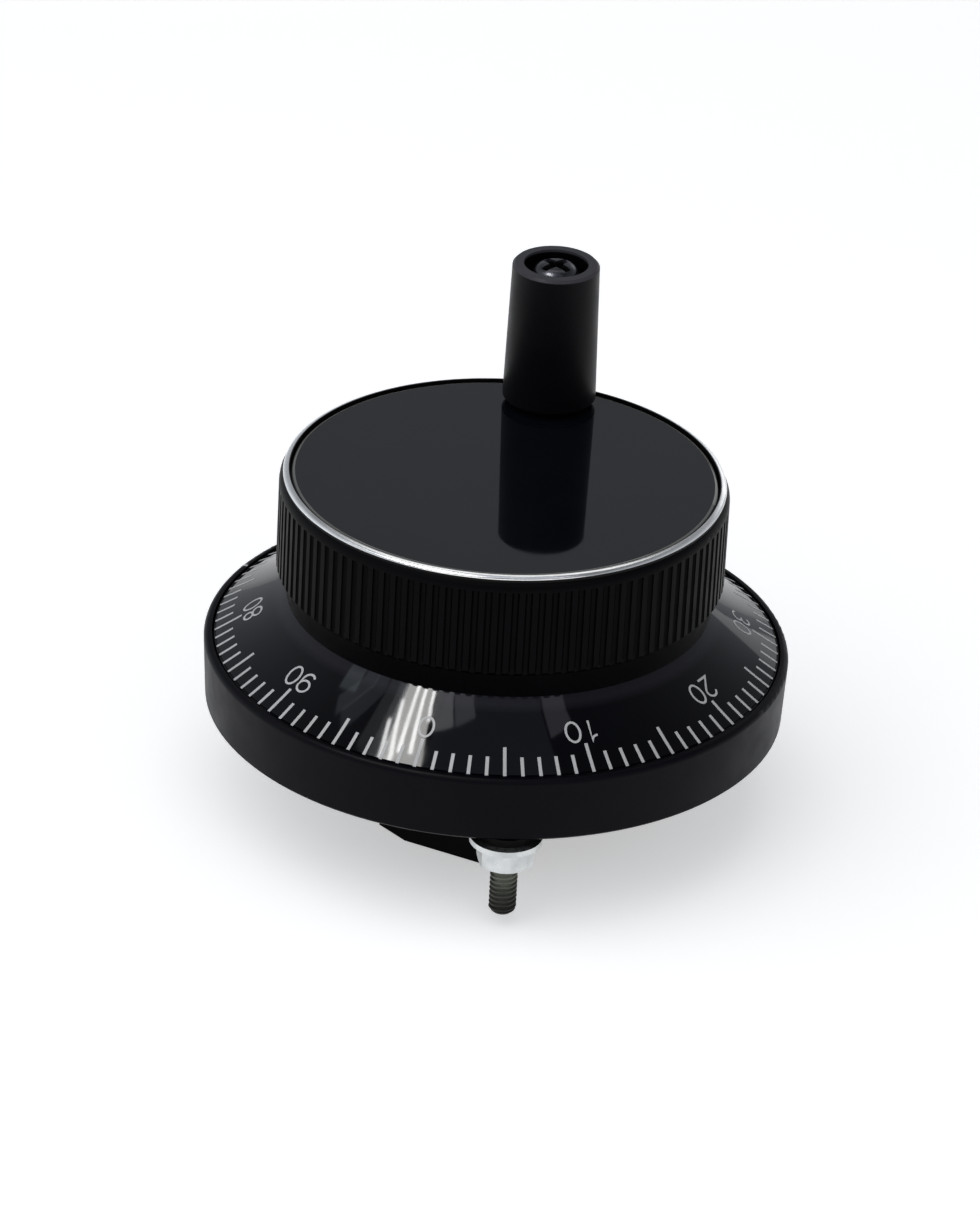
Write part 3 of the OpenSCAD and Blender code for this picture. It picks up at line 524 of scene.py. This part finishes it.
def number_print(verts, faces, text, place):
    """The strokes of one number, in the middle over its tick."""
    width = DIGIT_BOX * DIGIT_W
    x = -(width * len(text) + DIGIT_GAP * (len(text) - 1)) / 2
    for char in text:
        for stroke in DIGITS[char]:
            points = [(x + px * DIGIT_W, NUMBER_START + DIGIT_H + STROKE / 2 - py * DIGIT_H)
                      for px, py in stroke]
            film(verts, faces, *ribbon(points, STROKE), place)
        x += width + DIGIT_GAP


def dial_print():
    """The dial's ticks, every fifth one long and every tenth one numbered."""
    verts, faces = [], []
    for k in range(DIVISIONS):
        angle = ZERO_AT + k * 360 / DIVISIONS
        end = TICK_LONG if k % 5 == 0 else TICK_SHORT
        steps = [TICK_START + (end - TICK_START) * i / 4 for i in range(5)]

        def place(u, s, lift, angle=angle):
            return on_cone(u, s, angle, lift)

        film(verts, faces, [(-TICK_W / 2, s) for s in steps], [(TICK_W / 2, s) for s in steps], place)
        if k % 10 == 0:
            number_print(verts, faces, str(k), place)
    new_piece("dial_print", verts, faces, print_white, "wheel", sharp=20)


dial_print()


# ---------------------------------------------------------------- index mark on the bezel rim
def index_mark():
    """A line at 90 degrees, over the rim's rounded edge and down its side."""
    round_r = BEZEL_R - RIM_ROUND
    round_z = BEZEL_H - RIM_ROUND
    path = [(RIM_R + INDEX_START, BEZEL_H, 0, 1), (round_r, BEZEL_H, 0, 1)]
    for i in range(1, 9):
        a = math.radians(90 - 90 * i / 8)
        path.append((round_r + RIM_ROUND * math.cos(a), round_z + RIM_ROUND * math.sin(a),
                     math.cos(a), math.sin(a)))
    path.append((BEZEL_R - INDEX_DRAFT, round_z - INDEX_DOWN, 1, 0))
    verts, faces = [], []

    def place(u, i, lift):
        r, z, nr, nz = path[i]
        r += nr * lift
        return (u, math.sqrt(r * r - u * u), z + nz * lift)

    rows = range(len(path))
    film(verts, faces, [(-INDEX_W / 2, i) for i in rows], [(INDEX_W / 2, i) for i in rows], place)
    new_piece("index_mark", verts, faces, print_white, "housing", sharp=20)


index_mark()


# ---------------------------------------------------------------- trim ring
TRIM_PROFILE = ((29.1, 33.0), (29.95, 33.0), (29.95, 33.82), (30.0, 33.86), (29.9, 34.02), (29.62, 34.18),
                (29.25, 34.3), (29.1, 34.3))
TRIM_CUT = range(3, 6)


def trim_ring():
    """The ring's bright cut, the faces numbered in TRIM_CUT, between black walls."""
    columns = 360
    rows = len(TRIM_PROFILE)
    faces = side_faces(rows, columns)
    last = (rows - 1) * columns
    for k in range(columns):
        after = (k + 1) % columns
        faces.append((last + k, last + after, after, k))
    obj = new_piece("trim_ring_cut", turned_points(TRIM_PROFILE, columns), faces, trim_black, "wheel",
                    sharp=40)
    obj.data.materials.append(slots["trim_aluminium"])
    for i, face in enumerate(obj.data.polygons):
        face.material_index = 1 if i // columns in TRIM_CUT else 0
    return obj


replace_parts(trim_ring(), "trim_ring")


# ---------------------------------------------------------------- threaded studs
def thread_radius(z, turn):
    """Radius of the rolled thread and its chamfered tip at height z, a share turn of a circle round."""
    phase = (z / THREAD_PITCH - turn) % 1
    groove = min(max(abs(2 * phase - 1) * 1.3 - 0.18, 0), 1)
    return min(THREAD_R - THREAD_DEPTH * groove, THREAD_R - TIP_CHAMFER + (z - STUD_TIP_Z))


def stud(index, angle):
    """One stud: a rolled thread on its free end, plain where the nut and the bezel hide it."""
    columns = 48
    length = STUD_HOLD_Z - STUD_TIP_Z
    count = int(length / THREAD_PITCH * 12) + 1
    rows = []
    for i in range(count + 1):
        z = STUD_TIP_Z + length * i / count
        rows.append([(thread_radius(z, k / columns), z) for k in range(columns)])
    for z in (STUD_HOLD_Z, STUD_END_Z):
        rows.append([(STUD_HOLD_R, z)] * columns)
    cx = STUD_PCD / 2 * math.cos(math.radians(angle))
    cy = STUD_PCD / 2 * math.sin(math.radians(angle))
    verts = []
    for row in rows:
        for k, (r, z) in enumerate(row):
            a = 2 * math.pi * k / columns
            verts.append((cx + r * math.cos(a), cy + r * math.sin(a), z))
    faces = capped_faces(len(rows), columns)
    return new_piece(f"threaded_stud_{index}", verts, faces, slots["stud_steel"], "housing",
                     sharp=50)


studs = [stud(i + 1, STUD_AT + 120 * i) for i in range(3)]
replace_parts(studs[0], "mounting_studs")


# ---------------------------------------------------------------- screws with a cross recess
def recess_cutter(width, slim, depth):
    """A cross that narrows towards its bottom at z depth, with its open end at z -0.2."""
    a, b = width / 2, slim / 2
    outline = []
    for quarter in range(4):
        cosine = math.cos(math.radians(90 * quarter))
        sine = math.sin(math.radians(90 * quarter))
        for x, y in ((a, -b), (a, b), (b * 1.25, b * 1.25)):
            outline.append((x * cosine - y * sine, x * sine + y * cosine))
    verts = []
    levels = ((depth, 0.45), (depth * 0.55, 0.78), (-0.2, 1.12))
    for z, scale in levels:
        verts.extend((x * scale, y * scale, z) for x, y in outline)
    return verts, [tuple(reversed(face)) for face in capped_faces(len(levels), len(outline))]


def screw(name, profile, recess, place, mat, body):
    """A turned screw with a cross recess. profile runs from the head's centre, at z 0, up to the end."""
    columns = 64
    obj = new_piece(name, turned_points(profile, columns), capped_faces(len(profile), columns), mat, body,
                    sharp=30)
    verts, faces = recess_cutter(*recess)
    mesh = bpy.data.meshes.new(name + "_cut")
    mesh.from_pydata([Vector(v) * MM for v in verts], [], faces)
    cutter = bpy.data.objects.new(name + "_cut", mesh)
    bpy.context.scene.collection.objects.link(cutter)
    modifier = obj.modifiers.new("recess", "BOOLEAN")
    modifier.operation = "DIFFERENCE"
    modifier.solver = "EXACT"
    modifier.object = cutter
    bpy.context.view_layer.update()
    graph = bpy.context.evaluated_depsgraph_get()
    done = bpy.data.meshes.new_from_object(obj.evaluated_get(graph))
    obj.modifiers.clear()
    bpy.data.objects.remove(cutter)
    made = bmesh.new()
    made.from_mesh(done)
    made.transform(place)
    bmesh.ops.recalc_face_normals(made, faces=made.faces)
    smooth_edges(made, 30)
    made.to_mesh(done)
    made.free()
    obj.data = done
    return obj


def at(x, y, z, up=True, turned=0):
    """Places a screw drawn head down at z 0: up for a shank that points to +z, else turned over."""
    tip = Matrix.Identity(4) if up else Matrix.Rotation(math.pi, 4, "X")
    turn = Matrix.Rotation(math.radians(turned), 4, "Z")
    return Matrix.Translation(Vector((x, y, z)) * MM) @ turn @ tip


def pan_profile(head_r, head_t, d, length):
    """A pan head with a rounded top, and a plain shank with a chamfered end."""
    crown = head_t * 0.45
    chamfer = 0.3
    points = [(CENTRE_R, 0)]
    for i in range(1, 9):
        a = math.radians(i * 90 / 8)
        points.append((head_r * math.sin(a), crown * (1 - math.cos(a))))
    end = head_t + length
    points += [(head_r, head_t), (d / 2, head_t), (d / 2, end - chamfer), (d / 2 - chamfer, end)]
    return points


def clamp_screws():
    """The terminals' M3 screws, one to a cell, with their heads to the rear."""
    profile = pan_profile(2.3, 1.6, 3, 5.4)
    made = []
    for i in range(TERMINALS):
        place = at((i - (TERMINALS - 1) / 2) * TERMINAL_PITCH, CLAMP_Y, CLAMP_TOP_Z)
        made.append(screw(f"clamp_screw_{i + 1}", profile, (2.6, 0.62, 1.1), place, slots["zinc_steel"],
                          "housing"))
    return made


def cover_screws():
    """The rear cover's M2.5 screws, with their heads to the rear."""
    profile = pan_profile(2.25, 1.375, 2.5, 7.0)
    made = []
    for i in range(4):
        a = math.radians(45 + 90 * i)
        place = at(COVER_SCREW_R * math.cos(a), COVER_SCREW_R * math.sin(a), COVER_SCREW_Z)
        made.append(screw(f"cover_screw_{i + 1}", profile, (2.5, 0.6, 1.0), place, slots["zinc_steel"],
                          "housing"))
    return made


def shoulder_screw():
    """The handle's screw: a wide head, flat in its middle and rounded around, on a stepped shank."""
    low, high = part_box("handle_screw")
    top = high.z / MM + HEAD_RISE
    foot = top - PLATE_Z
    profile = [(CENTRE_R, 0)]
    for i in range(15):
        a = math.radians(i * 75 / 14)
        profile.append((HEAD_FLAT_R + HEAD_ROUND * math.sin(a), 0.03 + HEAD_ROUND * (1 - math.cos(a))))
    profile += [(HEAD_R, HEAD_ROUND), (HEAD_R, HEAD_T), (SHOULDER_R, HEAD_T), (SHOULDER_R, foot),
                (SHANK_R, foot), (SHANK_R, top - low.z / MM)]
    a = math.radians(HANDLE_AT)
    place = at(HANDLE_R * math.cos(a), HANDLE_R * math.sin(a), top, False, RECESS_AT)
    return screw("shoulder_screw", profile, (4.8, 1.0, 1.7), place, slots["screw_dark"], "wheel")


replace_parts(clamp_screws()[0], "clamp_screws")
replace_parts(cover_screws()[0], "cover_screws")
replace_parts(shoulder_screw(), "handle_screw")


# ---------------------------------------------------------------- floor, world and lamps
def add_floor():
    """A pale floor that glows a little to the eye and in gloss, and keeps the part's shadow."""
    mat = material("floor", grey(0.9), 0.9, specular=0.0)
    path = add_node(mat, "ShaderNodeLightPath")
    seen = combine(mat, "MAXIMUM", path.outputs["Is Camera Ray"], path.outputs["Is Glossy Ray"])
    seen = combine(mat, "MAXIMUM", seen, path.outputs["Is Transmission Ray"])
    glow = add_node(mat, "ShaderNodeMath", operation="MULTIPLY")
    glow.inputs[1].default_value = FLOOR_GLOW
    link(mat, seen, glow.inputs[0])
    shader = mat.node_tree.nodes["Principled BSDF"]
    shader.inputs["Emission Color"].default_value = (1, 1, 1, 1)
    link(mat, glow.outputs["Value"], shader.inputs["Emission Strength"])
    mesh = bpy.data.meshes.new("floor")
    z = FLOOR_Z * MM
    corners = [(-FLOOR_SIZE, -FLOOR_SIZE, z), (FLOOR_SIZE, -FLOOR_SIZE, z), (FLOOR_SIZE, FLOOR_SIZE, z),
               (-FLOOR_SIZE, FLOOR_SIZE, z)]
    mesh.from_pydata(corners, [], [(0, 1, 2, 3)])
    mesh.materials.append(mat)
    obj = bpy.data.objects.new("floor", mesh)
    bpy.context.scene.collection.objects.link(obj)


def add_world():
    """Brighter low down and to the sides, as a studio with big side lights is."""
    world = bpy.data.worlds.new("studio")
    bpy.context.scene.world = world
    world.use_nodes = True
    background = world.node_tree.nodes["Background"]
    background.inputs["Color"].default_value = (0.62, 0.65, 0.7, 1)
    coord = add_node(world, "ShaderNodeTexCoord")
    split = add_node(world, "ShaderNodeSeparateXYZ")
    aside = add_node(world, "ShaderNodeVectorMath", operation="DOT_PRODUCT")
    aside.inputs[1].default_value = SIDE
    link(world, coord.outputs["Generated"], split.inputs["Vector"])
    link(world, coord.outputs["Generated"], aside.inputs[0])
    upwards = ramp(world, split.outputs["Z"], 0, 0.8, 0.85, 0.22)
    left = ramp(world, aside.outputs["Value"], -0.38, -0.92, 0, 0.78)
    right = ramp(world, aside.outputs["Value"], 0.4, 0.95, 0, 0.25)
    total = combine(world, "ADD", combine(world, "ADD", upwards, left), right)
    link(world, total, background.inputs["Strength"])


LAMP_AIM = Vector((0, 0, 0.02))


def add_box(name, forward, side, height, size, radiance, color=(1, 1, 1), spin=0):
    """A lamp aimed at the part: forward is towards the camera's side and side to its right, in metres.

    size is its width along side and its depth along forward, radiance its brightness, and spin turns
    its far end to the right, in degrees.
    """
    place = TOWARDS * forward + SIDE * side + Vector((0, 0, height))
    look = (LAMP_AIM - place).normalized()
    level = (SIDE - look * SIDE.dot(look)).normalized()
    along = (-look).cross(level)
    angle = math.radians(spin)
    across = level * math.cos(angle) - along * math.sin(angle)
    turn = Matrix((across, (-look).cross(across), -look)).transposed()
    data = bpy.data.lights.new(name, "AREA")
    data.shape = "RECTANGLE"
    data.size, data.size_y = size
    data.energy = radiance * math.pi * size[0] * size[1]
    data.color = color
    obj = bpy.data.objects.new(name, data)
    bpy.context.scene.collection.objects.link(obj)
    obj.matrix_world = Matrix.Translation(place) @ turn.to_4x4()
    return obj


def add_shine(name, *place, **more):
    """A lamp seen only in gloss, so that it sets no second shadow."""
    add_box(name, *place, **more).visible_diffuse = False


add_floor()
add_world()
# soft light from above, and the broad dim glows that the dial's front mirrors
add_box("key_box", 0.25, -0.25, 1.15, (1.4, 1.2), 1.15).visible_glossy = False
add_shine("top_box", 0.08, 0.0, 1.0, (0.5, 0.5), 0.42, color=(0.75, 0.82, 1.0))
add_shine("top_edge_box", 0.25, 0.33, 1.0, (0.12, 0.2), 1.5, color=(0.88, 0.86, 1.0))
# pale patches on the dial's left, then a bright window in panes and strips
add_shine("patch_box", -0.07, -0.72, 1.0, (0.07, 0.2), 1.1, color=(0.8, 0.88, 1.0))
add_shine("patch_far_box", -0.03, -0.645, 1.01, (0.08, 0.22), 0.85, color=(0.8, 0.88, 1.0))
add_shine("patch_edge_box", -0.12, -0.8, 1.0, (0.06, 0.13), 1.8, color=(0.8, 0.92, 1.0), spin=-33)
add_shine("window_pane", 0.12, -0.362, 1.0, (0.163, 0.25), 22.0, color=(1.0, 0.99, 0.97), spin=24)
# forward, side, width and radiance of the window's dim edges
GLOWS = ((0.081, -0.449, 0.028, 5.0), (0.068, -0.478, 0.035, 2.2), (0.047, -0.526, 0.07, 0.9))
for i, (forward, offset, width, level) in enumerate(GLOWS):
    add_shine(f"window_glow_{i + 1}", forward, offset, 1.0, (width, 0.25), level, color=(0.9, 0.95, 1.0),
              spin=24)
add_shine("window_side_near", 0.247, -0.26, 1.0, (0.1, 0.16), 4.0, color=(0.95, 0.96, 1.0), spin=29)
add_shine("window_side_far", 0.3, -0.165, 1.0, (0.1, 0.16), 1.8, color=(0.92, 0.93, 1.0), spin=29)
# forward, side, length and turn of its bright strips
STRIPS = ((0.02, -0.42, 0.12, 40), (0.072, -0.41, 0.18, 38), (0.12, -0.383, 0.2, 24),
          (0.145, -0.341, 0.2, 24), (0.215, -0.316, 0.1, 24))
for i, (forward, offset, length, spin) in enumerate(STRIPS):
    add_shine(f"window_strip_{i + 1}", forward, offset, 0.99, (0.018, length), 45.0, spin=spin)
# light on the front, and what the trim ring mirrors
add_box("front_box", 0.8, 0.0, 0.75, (1.5, 0.4), 0.95)
add_shine("rim_box", -0.5, 0.0, 1.0, (0.9, 0.4), 0.95)
add_shine("rim_right_box", -1.05, 0.46, 0.34, (0.4, 0.45), 0.7)

bpy.context.scene.view_settings.view_transform = "Standard"
